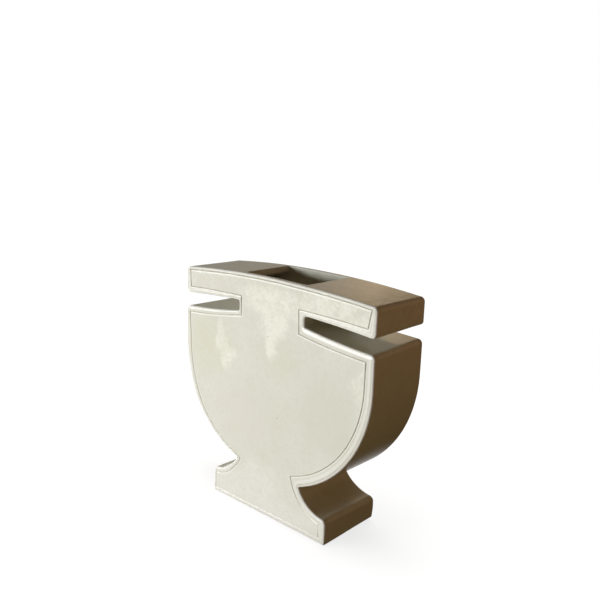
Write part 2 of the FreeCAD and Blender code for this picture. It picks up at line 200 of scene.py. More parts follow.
def stretchCounts():
    # Pieces that each stretch is cut into, the same for every inset
    counts = []
    for index, (side, _, name) in enumerate(corners):
        start, end = plainCorner(index), plainCorner((index + 1) % len(corners))
        middle = between(name, side, start, end, 0.5)
        length = math.dist(start, middle) + math.dist(middle, end)
        counts.append(max(outline["leastPieces"], round(length / outline["spacing"])))
    return counts


def cornerPlace(index, insets):
    side, before, after = corners[index]
    label, near, _, _ = kinds[index]
    insetBefore, insetAfter = insets[index]
    if label == "bowlTop":
        return (side * (halfWidth - insetBefore), bowlZ)
    x, z = meet(stretches[before], stretches[after], insetBefore, insetAfter, near)
    return (side * x, z)


def plainCorner(index):
    return cornerPlace(index, [(0.0, 0.0)] * len(corners))


counts = stretchCounts()


def cornerCuts(places, insets, sharp):
    # How far each corner's round reaches along its stretches, and the weight of its curve
    tangent = outline["tangentShare"]
    cuts = []
    for index, (side, before, after) in enumerate(corners):
        _, _, roundName, inward = kinds[index]
        if roundName is None:
            cuts.append((outline["bowlBlend"], 1.0))
            continue
        here = places[index]
        last = between(before, side, places[index - 1], here, 1 - tangent)
        following = between(after, side, here, places[(index + 1) % len(corners)], tangent)
        arriving = math.atan2(here[1] - last[1], here[0] - last[0])
        leaving = math.atan2(following[1] - here[1], following[0] - here[0])
        turn = abs((leaving - arriving + math.pi) % (2 * math.pi) - math.pi)
        inset = sum(insets[index]) / 2
        size = 0.0 if sharp else outline[roundName] + (inset if inward else -inset)
        size = max(size, outline["sharpest"])
        cuts.append((size * math.tan(turn / 2), math.cos(turn / 2)))
    return cuts


def loopOf(insets, sharp=False):
    # One closed run of points round the outline at the given insets, clockwise from the right
    # end of the crown. insets is one number, or a pair for each corner.
    if not isinstance(insets, list):
        insets = [(insets, insets)] * len(corners)
    places = [cornerPlace(i, insets) for i in range(len(corners))]
    cuts = cornerCuts(places, insets, sharp)
    points = []
    for index, (side, before, after) in enumerate(corners):
        cut, weight = cuts[index]
        here = places[index]
        start = places[index - 1]
        following = (index + 1) % len(corners)
        end = places[following]
        comeFrom = between(before, side, start, here, 1 - cut / math.dist(start, here))
        goTo = between(after, side, here, end, cut / math.dist(here, end))
        steps = outline["cornerPoints"] - 1
        for step in range(steps + 1):
            t = step / steps
            a, b, c = (1 - t) ** 2, 2 * t * (1 - t) * weight, t**2
            whole = a + b + c
            three = zip(comeFrom, here, goTo)
            points.append(tuple((a * p + b * q + c * r) / whole for p, q, r in three))
        length = math.dist(here, end)
        free = 1 - (cut + cuts[following][0]) / length
        for step in range(1, counts[index]):
            share = cut / length + free * step / counts[index]
            points.append(between(after, side, here, end, share))
    return points


def cornerStart(index):
    # Index of a corner's first point in every loop
    return sum(outline["cornerPoints"] + counts[i] - 1 for i in range(index))


def nodeOf(label, side):
    return f"{label}_{'right' if side > 0 else 'left'}"


# The hand-built clay: how the whole vase strays from the drawing
handwork = {
    "leftShare": 1.3,  # how soon the left side's changes come in from the middle
    "rightFoot": (0.35, 0.65),  # where the foot's right end starts, and its run, of half the foot
    "leftFoot": (0.3, 0.35),
    # How far, height of the middle, and reach upwards and downwards
    "bowlBulge": (2.4 * mm, 66 * mm, 26 * mm),  # lower left of the bowl, outwards
    "backWaistDrop": (0.8 * mm, 33 * mm, 10 * mm),  # notches sit lower at the back
    "leftFootRise": (3.0 * mm, 27 * mm, 12 * mm),  # the foot's left end stands taller
    "footSpread": (2.3 * mm, 12 * mm, 16 * mm),  # back right of the foot, outwards
    "flareRise": (1.6 * mm, 27 * mm, 9 * mm),  # fuller flare at the back right
    "shoulderRise": (2.0 * mm, shoulderZ, 14 * mm),  # back right end of the shoulder
    "cornerLift": 2.7 * mm,  # back right corner of the foot
    "liftReach": 12 * mm,
    "waver": 0.25 * mm,  # uneven edges, always inwards
    "dent": 0.12 * mm,  # slack in the two faces, inwards too
    "leastDent": 0.2 * mm,
    # Pairs of waves that are multiplied: turns along x, y and z, and where they start
    "sideWaves": [((0.0, 38.0, 71.0), 0.7), ((0.0, 53.0, 29.0), 2.1)],
    "topWaves": [((47.0, 61.0, 0.0), 1.3), ((23.0, -19.0, 0.0), 0.4)],
    "faceWaves": [((39.0, 0.0, 0.0), 0.5), ((0.0, 0.0, 43.0), 1.9)],
}


def smooth(share):
    share = min(max(share, 0.0), 1.0)
    return share * share * (3 - 2 * share)


def swell(name, z):
    height, middle, reach = handwork[name]
    distance = (z - middle) / reach
    return height * math.exp(-distance * distance)


def waves(pair, place):
    height = 1.0
    for rates, start in pair:
        height *= math.sin(sum(rate * at for rate, at in zip(rates, place)) + start)
    return height


def handBuilt(x, y, z):
    h = handwork
    place = (x, y, z)
    backness = smooth((y - frontY) / (backY - frontY))
    left = smooth(-x / halfWidth * h["leftShare"])
    start, run = (share * halfFoot for share in h["rightFoot"])
    backRight = backness * smooth((x - start) / run)
    start, run = (share * halfFoot for share in h["leftFoot"])
    leftEnd = smooth((-x - start) / run)
    shoulderEnd = smooth((x - halfNeck) / (halfWidth - halfNeck))
    lift = backRight * (h["cornerLift"] * math.exp(-z / h["liftReach"]) + swell("flareRise", z))
    lift += leftEnd * swell("leftFootRise", z) + shoulderEnd * backness * swell("shoulderRise", z)
    drop = backness * swell("backWaistDrop", z)
    aside = backRight * swell("footSpread", z) - left * swell("bowlBulge", z)
    outwards = max(-1.0, min(1.0, x / halfWidth))
    x += aside - outwards * h["waver"] * (1 + waves(h["sideWaves"], place)) / 2
    sink = h["waver"] * (1 + waves(h["topWaves"], place)) / 2
    z += lift - drop - smooth(z / crownTop) * sink
    slack = h["dent"] * (1 + waves(h["faceWaves"], place)) + h["leastDent"]
    y -= (2 * backness - 1) * slack
    return (x, y, z)


def newObject(name, mesh):
    made = bpy.data.objects.new(name, mesh)
    scene.collection.objects.link(made)
    return made


def treeOf(spots):
    tree = kdtree.KDTree(len(spots))
    for index, spot in enumerate(spots):
        tree.insert(spot, index)
    tree.balance()
    return tree


def crossings(loop, z):
    # Where a closed run of points crosses a height, from left to right
    found = []
    for index, (ax, az) in enumerate(loop):
        bx, bz = loop[(index + 1) % len(loop)]
        if (az > z) != (bz > z):
            found.append(ax + (bx - ax) * (z - az) / (bz - az))
    return sorted(found)


def within(loop, x, z):
    return sum(x < crossing for crossing in crossings(loop, z)) % 2 == 1


# The points scattered over a flat face, in shares of their spacing
scattering = {
    "seed": 7,
    "rowShare": 0.87,  # between two rows
    "marginShare": 0.6,  # kept to the left and right
    "clearShare": 0.55,  # kept all round
    "shakeShare": 0.1,
    "tolerance": 1e-9,
}


def fillInside(loop, spacing, holes=()):
    # Flat triangles over a closed run of points and others scattered inside it, not over holes
    xs = [p[0] for p in loop]
    zs = [p[1] for p in loop]
    scatter = random.Random(scattering["seed"])
    margin = scattering["marginShare"] * spacing
    shake = scattering["shakeShare"]
    inside = []
    z = min(zs) + spacing / 2
    row = 0
    while z < max(zs):
        ends = crossings(loop, z)
        x = min(xs) + (row % 2) * spacing / 2
        while x < max(xs):
            for low, high in zip(ends[::2], ends[1::2]):
                if low + margin < x < high - margin:
                    across, up = (scatter.uniform(-shake, shake) * spacing for _ in range(2))
                    inside.append((x + across, z + up))
            x += spacing
        z += spacing * scattering["rowShare"]
        row += 1
    clear = scattering["clearShare"] * spacing
    rim = loop + [p for hole in holes for p in hole]
    tree = treeOf([(x, z, 0.0) for x, z in rim])
    inside = [p for p in inside if tree.find((p[0], p[1], 0.0))[2] > clear]
    points = [Vector(p) for p in rim + inside]
    edges = []
    start = len(loop)
    for hole in holes:
        edges += [(start + i, start + (i + 1) % len(hole)) for i in range(len(hole))]
        start += len(hole)
    flat, _, faces, origins, _, _ = delaunay_2d_cdt(
        points, edges, [list(range(len(loop)))], 1, scattering["tolerance"]
    )
    kept = []
    for face in faces:
        x = sum(flat[i][0] for i in face) / len(face)
        z = sum(flat[i][1] for i in face) / len(face)
        if not any(within(hole, x, z) for hole in holes):
            kept.append(face)
    return flat, kept, origins


def joinRings(bm, rings):
    for ringA, ringB in zip(rings, rings[1:]):
        for index in range(len(ringA)):
            after = (index + 1) % len(ringA)
            bm.faces.new((ringA[index], ringA[after], ringB[after], ringB[index]))


def pick(value, index):
    # From a list with one for each point, or the same for all
    return value[index] if isinstance(value, list) else value


def slabMesh(rings, spacing, holes=()):
    # A slab from rings of (points, y, marks) that run from the rim of one face, over the
    # edge, to the middle of the other. Marks are values for the glaze.
    # Each hole is its rings of (points, y), from the first face to the last.
    bm = bmesh.new()
    marks = {mark: bm.verts.layers.float.new(mark) for mark in ("arris", "incised")}
    made = []
    for points, ys, values in rings:
        run = []
        for index, (x, z) in enumerate(points):
            vert = bm.verts.new((x, pick(ys, index), z))
            for mark, layer in marks.items():
                vert[layer] = pick(values.get(mark, 0.0), index)
            run.append(vert)
        made.append(run)
    joinRings(bm, made)
    bores = []
    for hole in holes:
        bore = [[bm.verts.new((x, y, z)) for x, z in points] for points, y in hole]
        joinRings(bm, bore)
        bores.append(bore)
    for end in (0, -1):
        points, ys, _ = rings[end]
        y = pick(ys, 0)
        edge = made[end] + [vert for bore in bores for vert in bore[end]]
        flat, faces, origins = fillInside(points, spacing, [hole[end][0] for hole in holes])
        verts = []
        for place, origin in zip(flat, origins):
            known = [o for o in origin if o < len(edge)]
            verts.append(edge[known[0]] if known else bm.verts.new((place[0], y, place[1])))
        for face in faces:
            corner = [verts[i] for i in face]
            if len(set(corner)) == len(corner):
                bm.faces.new(corner)
    bmesh.ops.remove_doubles(bm, verts=bm.verts, dist=joined)
    bmesh.ops.dissolve_degenerate(bm, dist=sliver, edges=bm.edges)
    bmesh.ops.recalc_face_normals(bm, faces=bm.faces)
    return bm


frontFace = {
    "arris": 1.5 * mm,
    "arrisSteps": 6,
    "panelSpacing": 5.5 * mm,
    "mouthLip": 0.9 * mm,  # softened inner edge at the mouth
    "mouthFade": 3.0 * mm,
    "lipSteps": 3,
    "crownBand": 2.0 * mm,  # points this near the crown's top may be on the mouth's edge
}

backFace = {
    "arris": 1.8 * mm,
    "arrisSteps": 7,
}

# The scratched line: how far in it runs on each side of every corner, and how deep it is there
scratch = {
    "width": 0.9 * mm,
    "depth": 0.5 * mm,
    "seed": 11,
    "shallowest": 0.82,  # least share of its depth that the hand leaves
    "hollow": [(-0.5, 0.8), (0.0, 1.0), (0.5, 0.8)],  # shares of half the width and of the depth
    "burr": 0.22 * mm,  # clay pushed up along the line
    "burrWidth": 1.25 * mm,
    "burrRoom": 0.9,  # the most of the band that it may take
    "burrShape": [(1.0, 0.0, 0.0), (0.6, 1.0, 0.9), (0.2, 0.8, 0.9)],  # reach, height, and the painted highlight on it
    "brink": (0.25, 0.4),  # how dark the line's two edges are, and how strong the painted highlight on them
    "bandRidge": 0.11 * mm,  # smoothed clay halfway between the line and the edge
    "band": [  # share of the band, height of the clay there, how dark
        (0.07, -0.7, 0.75),
        (0.17, -0.7, 0.75),
        (0.34, 0.5, 0.0),
        (0.58, 1.0, 0.0),
        (0.82, 0.2, 0.0),
    ],
    # For each corner, on the right and on the left: the inset before and after it, clockwise,
    # and the share of the depth there
    "insets": {
        "collarTop": ((2.3, 4.1, 1.0), (4.6, 2.4, 1.0)),
        "collarUnder": ((6.4, 5.6, 1.0), (5.1, 5.2, 1.0)),
        "slotTop": ((3.9, 5.1, 1.0), (2.5, 3.7, 1.0)),
        "slotFloor": ((4.4, 6.2, 1.0), (3.4, 3.1, 0.9)),
        "shoulderEnd": ((5.6, 6.7, 1.0), (3.8, 4.7, 0.9)),
        "bowlTop": ((7.0, 7.0, 1.0), (5.5, 5.5, 0.8)),
        "waist": ((8.3, 5.9, 1.0), (3.4, 2.6, 0.8)),
        "footTop": ((4.4, 6.1, 0.25), (2.4, 3.5, 0.7)),
        "footBottom": ((5.6, 4.5, 0.8), (3.0, 2.4, 0.45)),
    },
}

cornerLines = [
    scratch["insets"][label][0 if side > 0 else 1]
    for (side, _, _), (label, *_) in zip(corners, kinds)
]


def lineInset(inset, shift, share):
    # Beside the line by shift, or at a share of the band from the arris to the line
    half, burr = scratch["width"] / 2, scratch["burrWidth"]
    band = inset - half - frontFace["arris"]
    room = scratch["burrRoom"] * band
    if shift < -half:
        shift = -half + (shift + half) * min(1.0, room / burr)
    if share is None:
        return inset + shift
    return frontFace["arris"] + share * (band - min(burr, room))


def scratchInsets(shift, share=None):
    return [
        tuple(lineInset(inset * mm, shift, share) for inset in insets)
        for *insets, _ in cornerLines
    ]


def scratchDepths():
    # The line's depth at every point of a loop
    strengths = [strength for *_, strength in cornerLines]
    depths = []
    hand = random.Random(scratch["seed"])
    for index, strength in enumerate(strengths):
        following = strengths[(index + 1) % len(strengths)]
        depths += [strength] * outline["cornerPoints"]
        for step in range(1, counts[index]):
            share = step / counts[index]
            depths.append(strength + (following - strength) * smooth(share))
    return [depth * hand.uniform(scratch["shallowest"], 1.0) for depth in depths]


def mouthMask(points, fade):
    # One over the mouth, along the crown only, and nothing elsewhere
    reach = outline["mouthHalf"]
    mask = []
    for x, z in points:
        onCrown = z > crownTop - frontFace["crownBand"]
        mask.append(smooth((reach - abs(x)) / fade) if onCrown else 0.0)
    return mask


def quarterTurn(steps):
    return [math.pi / 2 * step / steps for step in range(steps + 1)]


def roundedEdge(faceY, inwards, radius, steps):
    # Rings over the arris, from the edge of the side to the face, with a painted highlight along
    # the rounding
    rings = []
    for turn in quarterTurn(steps):
        inset = radius * (1 - math.cos(turn))
        y = faceY + inwards * radius * (1 - math.sin(turn))
        rings.append((loopOf(inset), y, {"arris": math.sin(2 * turn) ** 0.5 if turn else 0.0}))
    return rings


def lippedRim(innerY, outwards):
    # Rings round the inner face's edge, softened where the mouth is, with a painted highlight
    # over the softened lip
    plain = loopOf(0.0)
    lowered = loopOf(frontFace["mouthLip"])
    mask = mouthMask(plain, frontFace["mouthFade"])
    rings = []
    for turn in quarterTurn(frontFace["lipSteps"]):
        points = []
        ys = []
        for (ax, az), (bx, bz), share in zip(plain, lowered, mask):
            cut = share * (1 - math.sin(turn))
            points.append((ax + (bx - ax) * cut, az + (bz - az) * cut))
            ys.append(innerY + outwards * share * frontFace["mouthLip"] * (1 - math.cos(turn)))
        rings.append((points, ys, {"arris": [share * math.sin(2 * turn) for share in mask]}))
    return rings


def lineProfile():
    # Across the line, from the outside in: shift from its middle, depth, how dark, how strong a
    # painted highlight, and which bank it is on
    s = scratch
    half = s["width"] / 2
    bank = [
        (half + s["burrWidth"] * reach, -s["burr"] * height, 0.0, pale)
        for reach, height, pale in s["burrShape"]
    ]
    bank.append((half, 0.0, *s["brink"]))
    hollow = [(half * share, s["depth"] * deep, 1.0, 0.0, 0) for share, deep in s["hollow"]]
    outer = [(-shift, *rest, -1) for shift, *rest in bank]
    return outer + hollow + [(*row, 1) for row in reversed(bank)]


def bandRings(faceY, depths):
    # The hand-smoothed band between the arris and the line; its ridge gets a painted highlight
    rings = []
    for share, height, dark in scratch["band"]:
        points = loopOf(scratchInsets(0.0, share))
        ys = [faceY - scratch["bandRidge"] * height * deep for deep in depths]
        marks = {"arris": max(height, 0.0), "incised": dark}
        marks = {mark: [most * deep for deep in depths] for mark, most in marks.items()}
        rings.append((points, ys, marks))
    return rings


def scratchRings(faceY):
    depths = scratchDepths()
    half = scratch["width"] / 2
    rings = bandRings(faceY, depths)
    middle = loopOf(scratchInsets(0.0), sharp=True)
    inside = loopOf(scratchInsets(half), sharp=True)
    # The bank that lies lower and looks up is the raised one, with a painted highlight as if lit
    # from above
    falls = [max(-1.0, min(1.0, (m[1] - i[1]) / half)) for m, i in zip(middle, inside)]
    for shift, depth, dark, pale, bank in lineProfile():
        points = loopOf(scratchInsets(shift), sharp=True)
        raisedAndLit = [deep * (1 + bank * fall) / 2 for deep, fall in zip(depths, falls)]
        ys = [faceY + depth * deep for deep in (raisedAndLit if depth < 0 else depths)]
        marks = {
            "incised": [dark * deep for deep in depths],
            "arris": [pale * deep for deep in raisedAndLit],
        }
        rings.append((points, ys, marks))
    return rings


def makeFrontSlab():
    f = frontFace
    rings = lippedRim(innerFrontY, -1)
    rings += roundedEdge(frontY, 1, f["arris"], f["arrisSteps"])
    rings += scratchRings(frontY)
    return slabMesh(rings, f["panelSpacing"])


keyholes = {
    "apart": 36.0 * mm,
    "lift": 3.1 * mm,  # of the round entry, above the shoulder's inner end
    "head": 9.0 * mm,
    "shank": 4.6 * mm,
    "rise": 9.0 * mm,  # from the entry to the shank's seat
    "wiped": 0.5 * mm,  # softened edges
    "wipedShare": 0.3,  # of that, where the softened edge has its middle point
    "entrySteps": 30,
    "seatSteps": 12,
}


def keyholeLoop(side, grow):
    # A round entry below and a half round seat above
    k = keyholes
    head, shank = k["head"] / 2 + grow, k["shank"] / 2 + grow
    x = side * k["apart"] / 2
    z = slotFloorZ + k["lift"]
    lean = math.asin(shank / head)
    points = []
    for step in range(k["entrySteps"] + 1):
        turn = math.pi / 2 + lean + (2 * math.pi - 2 * lean) * step / k["entrySteps"]
        points.append((x + head * math.cos(turn), z + head * math.sin(turn)))
    for step in range(k["seatSteps"] + 1):
        turn = math.pi * step / k["seatSteps"]
        points.append((x + shank * math.cos(turn), z + k["rise"] + shank * math.sin(turn)))
    return points


def keyholeBore(side):
    # Rings through the back slab, from its inner face to its outer face
    wiped = keyholes["wiped"]
    part = wiped * keyholes["wipedShare"]
    rings = [(wiped, innerBackY), (part, innerBackY + part), (0.0, innerBackY + wiped)]
    rings += [(0.0, backY - wiped), (part, backY - part), (wiped, backY)]
    return [(keyholeLoop(side, grow), y) for grow, y in rings]


def makeBackSlab():
    b = backFace
    rings = lippedRim(innerBackY, 1)
    rings += roundedEdge(backY, -1, b["arris"], b["arrisSteps"])
    holes = [keyholeBore(side) for side in (-1, 1)]
    return slabMesh(rings, frontFace["panelSpacing"], holes)


# Walls between the faces: each profile is swept through the depth
walls = {
    "steps": 20,
    "lipRound": 1.5 * mm,  # edges of the mouth
    "lipSteps": 5,
    "lipGap": 0.3 * mm,  # least run from there to the next point
    "edgeHighlight": 0.9,  # a painted highlight over the outward corners
    "edgeReach": 2.4 * mm,
    "edgeEnd": 1.5,  # share of the reach where that ends; it is full at a half
}

outwardCorners = [plainCorner(i) for i, kind in enumerate(kinds) if kind[2] == "cornerRound"]


def sweepTree():
    # Sweeps a closed profile from the front to the back
    tree = bpy.data.node_groups.new("sweptWall", "GeometryNodeTree")
    sockets = {"Profile": "Geometry", "Front": "Float", "Back": "Float", "Steps": "Int"}
    for name, kind in sockets.items():
        tree.interface.new_socket(name, in_out="INPUT", socket_type=f"NodeSocket{kind}")
    tree.interface.new_socket("Swept", in_out="OUTPUT", socket_type="NodeSocketGeometry")

    def add(kind, inputs):
        made = tree.nodes.new(kind)
        for name, output in inputs.items():
            tree.links.new(output, made.inputs[name])
        return made

    given = add("NodeGroupInput", {}).outputs
    start = add("ShaderNodeCombineXYZ", {"Y": given["Front"]}).outputs[0]
    end = add("ShaderNodeCombineXYZ", {"Y": given["Back"]}).outputs[0]
    line = add("GeometryNodeCurvePrimitiveLine", {"Start": start, "End": end}).outputs[0]
    values = {"Curve": line, "Count": given["Steps"]}
    path = add("GeometryNodeResampleCurve", values).outputs[0]
    upright = add("GeometryNodeSetCurveNormal", {"Curve": path})
    upright.mode = "Z_UP"
    profile = add("GeometryNodeMeshToCurve", {"Mesh": given["Profile"]}).outputs[0]
    values = {"Curve": upright.outputs[0], "Profile Curve": profile}
    sweep = add("GeometryNodeCurveToMesh", values)
    sweep.inputs["Fill Caps"].default_value = True
    add("NodeGroupOutput", {0: sweep.outputs[0]})
    return tree


def sweepWall(name, profile, tree):
    # The profile lies in the plane that the sweep turns upright, with z downwards
    mesh = bpy.data.meshes.new(f"{name}Profile")
    count = len(profile)
    edges = [(i, (i + 1) % count) for i in range(count)]
    mesh.from_pydata([(x, -z, 0.0) for x, z in profile], edges, [])
    holder = newObject(f"{name}Profile", mesh)
    modifier = holder.modifiers.new("sweptWall", "NODES")
    modifier.node_group = tree
    values = {"Front": innerFrontY, "Back": innerBackY, "Steps": walls["steps"]}
    for item in tree.interface.items_tree:
        if item.name in values:
            modifier[item.identifier] = values[item.name]
    bpy.context.view_layer.update()
    evaluated = holder.evaluated_get(bpy.context.evaluated_depsgraph_get())
    swept = bpy.data.meshes.new_from_object(evaluated)
    bpy.data.meshes.remove(mesh)
    bm = bmesh.new()
    bm.from_mesh(swept)
    bpy.data.meshes.remove(swept)
    bmesh.ops.remove_doubles(bm, verts=bm.verts, dist=joined)
    bmesh.ops.recalc_face_normals(bm, faces=bm.faces)
    arris = bm.verts.layers.float.new("arris")
    bm.verts.layers.float.new("incised")
    # A painted highlight near the outward corners
    for vert in bm.verts:
        away = min(math.dist((vert.co.x, vert.co.z), corner) for corner in outwardCorners)
        vert[arris] = walls["edgeHighlight"] * smooth(walls["edgeEnd"] - away / walls["edgeReach"])
    return bm


def topPlateProfile(side, outer, inner):
    # From the mouth's lip to the collar's end
    reach = outline["mouthHalf"]
    lip = walls["lipRound"]
    keep = reach + lip + walls["lipGap"]
    _, centre, radius, _ = stretches["crown"]
    middle = outline["cornerPoints"] // 2
    if side > 0:
        first = cornerStart(0)
        span = [*range(1 - counts[-1], 0), *range(first, first + middle + 1)]
    else:
        first = cornerStart(len(corners) - 1)
        last = first + outline["cornerPoints"] + counts[-1] - 1
        span = range(last - 1, first + middle - 1, -1)
    top, bottom = ([run[i] for i in span if side * run[i][0] > keep] for run in (outer, inner))
    mouthTop = centre[1] + math.sqrt(radius**2 - reach**2)
    mouthUnder = centre[1] + math.sqrt((radius - wall) ** 2 - reach**2)
    lips = []
    for base, start in ((mouthUnder + lip, -math.pi / 2), (mouthTop - lip, 0.0)):
        for turn in quarterTurn(walls["lipSteps"]):
            across = reach + lip - lip * math.cos(start + turn)
            lips.append((side * across, base + lip * math.sin(start + turn)))
    return lips + top + bottom[::-1]


def wallProfiles():
    # Every wall's closed profile, mitred at the middle of the corners' rounds
    outer = loopOf(0.0)
    inner = loopOf(wall)
    middle = outline["cornerPoints"] // 2
    spans = {}
    labels = {
        "collarEnd": "collar_end",
        "under": "collar_floor",
        "slotEnd": "neck_wall",
        "shoulder": "shoulder",
        "side": "bowl_wall",
        "bowl": "bowl_wall",
        "flare": "foot_flare",
        "footEnd": "foot_end",
    }
    for index, (side, _, name) in enumerate(corners):
        if name == "crown":
            continue
        start, end = (cornerStart(at % len(corners)) + middle for at in (index, index + 1))
        node = nodeOf(labels[name], side) if name in labels else "base_slab"
        low, high = spans.get(node, (start, end))
        spans[node] = (min(low, start), max(high, end))
    profiles = {
        node: outer[low : high + 1] + inner[low : high + 1][::-1]
        for node, (low, high) in spans.items()
    }
    for side in (1, -1):
        profiles[nodeOf("top_plate", side)] = topPlateProfile(side, outer, inner)
    return profiles


# Finishes


def operator(operation, swapped=False):
    def apply(self, other):
        first, second = (other, self) if swapped else (self, other)
        return self.graph.node("Math", {0: first, 1: second}, operation=operation)

    return apply


class Signal:
    # A shader socket that takes part in sums, with plain numbers on either side
    def __init__(self, graph, socket):
        self.graph = graph
        self.socket = socket

    __add__ = __radd__ = operator("ADD")
    __sub__ = operator("SUBTRACT")
    __rsub__ = operator("SUBTRACT", True)
    __mul__ = __rmul__ = operator("MULTIPLY")
    __truediv__ = operator("DIVIDE")
    over = operator("GREATER_THAN")
    most = operator("MAXIMUM")


class Graph:
    # Adds nodes to one material or world. A material's graph knows the place on the piece.
    def __init__(self, tree):
        self.tree = tree
        tree.nodes.clear()

    def feed(self, socket, value):
        if isinstance(value, Signal):
            self.tree.links.new(value.socket, socket)
        else:
            socket.default_value = value

    def node(self, kind, values=None, output=0, stops=(), **settings):
        made = self.tree.nodes.new(f"ShaderNode{kind}")
        for name, setting in settings.items():
            setattr(made, name, setting)
        for name, value in (values or {}).items():
            self.feed(made.inputs[name], value)
        if stops:
            steps = made.color_ramp.elements
            while len(steps) < len(stops):
                steps.new(0.5)
            for step, (position, tone) in zip(steps, stops):
                step.position, step.color = position, tone
        return Signal(self, made.outputs[output]) if len(made.outputs) else None

    def mix(self, share, first, second, blend="MIX"):
        values = {0: share, 6: first, 7: second}
        return self.node("Mix", values, 2, data_type="RGBA", blend_type=blend)

    def vector(self, operation, first, second):
        return self.node("VectorMath", {0: first, 1: second}, operation=operation)

    def length(self, vector):
        return self.node("VectorMath", {0: vector}, "Value", operation="LENGTH")

    def axis(self, vector, index):
        return self.node("SeparateXYZ", {0: vector}, index)

    def noise(self, scale, detail=2.0, rough=0.5, twist=0.0, output=0):
        values = {"Vector": self.place, "Scale": scale, "Detail": detail}
        values.update({"Roughness": rough, "Distortion": twist})
        return self.node("TexNoise", values, output)

    def ease(self, value, low, high):
        # Rises smoothly from nothing at low to one at high
        values = {0: value, 1: low, 2: high}
        return self.node("MapRange", values, interpolation_type="SMOOTHSTEP")

    def mark(self, name):
        return self.node("Attribute", None, "Fac", attribute_name=name)


def newMaterial(name):
    material = bpy.data.materials.new(name)
    material.use_nodes = True
    graph = Graph(material.node_tree)
    graph.place = graph.node("TexCoord", None, "Object")
    return material, graph


def coverWith(graph, tone, rough, surface):
    # The surface is its relief in metres
    values = {"Distance": 1.0, "Height": surface}
    bump = graph.node("Bump", values, "Normal")
    values = {"Base Color": tone, "Roughness": rough, "Normal": bump}
    shader = graph.node("BsdfPrincipled", values)
    graph.node("OutputMaterial", {"Surface": shader})


def colour(red, green, blue):
    # A colour as it is seen, given in steps of 255
    def straighten(step):
        share = step / 255
        return share / 12.92 if share <= 0.04045 else ((share + 0.055) / 1.055) ** 2.4

    return (straighten(red), straighten(green), straighten(blue), 1.0)


white = (1.0, 1.0, 1.0, 1.0)

glaze = {
    "cream": colour(232, 233, 219),
    "pale": colour(242, 243, 234),
    "warm": colour(226, 223, 206),
    "olive": colour(229, 229, 207),
    "lilac": colour(233, 232, 220),
    "green": colour(227, 229, 212),
    # The next tone is a painted reflection of windows
    "frost": colour(252, 254, 240),
    # The next tone is a painted highlight
    "arris": colour(253, 253, 247),
    "pooled": colour(146, 132, 112),
    "speck": colour(92, 70, 44),
    "clay": colour(186, 160, 128),
    "arrisHighlightShare": 0.85,  # how strong the painted highlight is over the arrises, the line's lit bank and the band's ridge
    "lineShare": (0.6, (0.4, 1.0)),  # how dark it pools in the line, over these marks of it
    # Clouding: the noise's scale, detail, roughness and twist, where it starts and is full,
    # and its strength
    "cloud": ((16.0, 4.0, 0.55), (0.35, 0.68), 0.5),
    "patch": ((44.0, 5.0, 0.6), (0.52, 0.74), 0.35),
    "mottle": ((310.0, 3.0, 0.6), (0.48, 0.66), 0.35),
    "wisp": ((130.0, 5.0, 0.7, 0.8), (0.38, 0.62), 0.4),
    "curd": ((460.0, 3.0, 0.6, 0.6), (0.44, 0.6), 0.45),
    "veil": ((120.0, 3.0, 0.6, 1.8), (0.44, 0.6), 0.35),
    "streak": ((30.0, 3.0, 0.6), (0.4, 0.75), 0.07),
    "leastWisp": 0.25,
    "streakedShare": ((0.15, 0.168), 0.3),  # painted reflection streaks: full above the slots, and this much below
    # Specks: how many cells to the metre, size, share of the cells, and strength
    "iron": ((90.0, 0.65 * mm, 0.2), 0.75),
    "pins": ((210.0, 0.4 * mm, 0.1), 0.6),
    "faint": ((340.0, 0.5 * mm, 0.3), 0.1),
    # Relief: the noise and its height
    "swell": ((28.0, 2.0, 0.45), 0.45 * mm),
    "ripple": ((105.0, 3.0, 0.55, 0.4), 0.13 * mm),
    "peel": ((520.0, 2.0, 0.5), 0.006 * mm),
    "grain": ((900.0, 3.0, 0.6), 0.05 * mm),
    "wrinkled": ((0.15, 0.175), 0.6, 1.2),  # ripples more above the slots: least and added
    "calm": 0.6,  # how much less it ripples over the arris and the line
    "pinDepth": 0.05 * mm,
    "ironHeight": 0.01 * mm,
    # Gloss: the least roughness, and what each mark adds
    "gloss": 0.055,
    "grainRough": 0.02,
    "lineRough": (0.17, (0.0, 0.35), (0.0, 0.3)),  # over these marks of the arris and the line
    "bareRough": 0.55,
    "pinRough": 0.2,
    "wiped": 0.9 * mm,  # how high the foot is wiped clean of glaze
    "wipedShare": 0.6,  # of that, where the wiping is complete
    "wipedEdge": ((160.0, 3.0), 0.8 * mm),  # noise and reach of its uneven edge
}

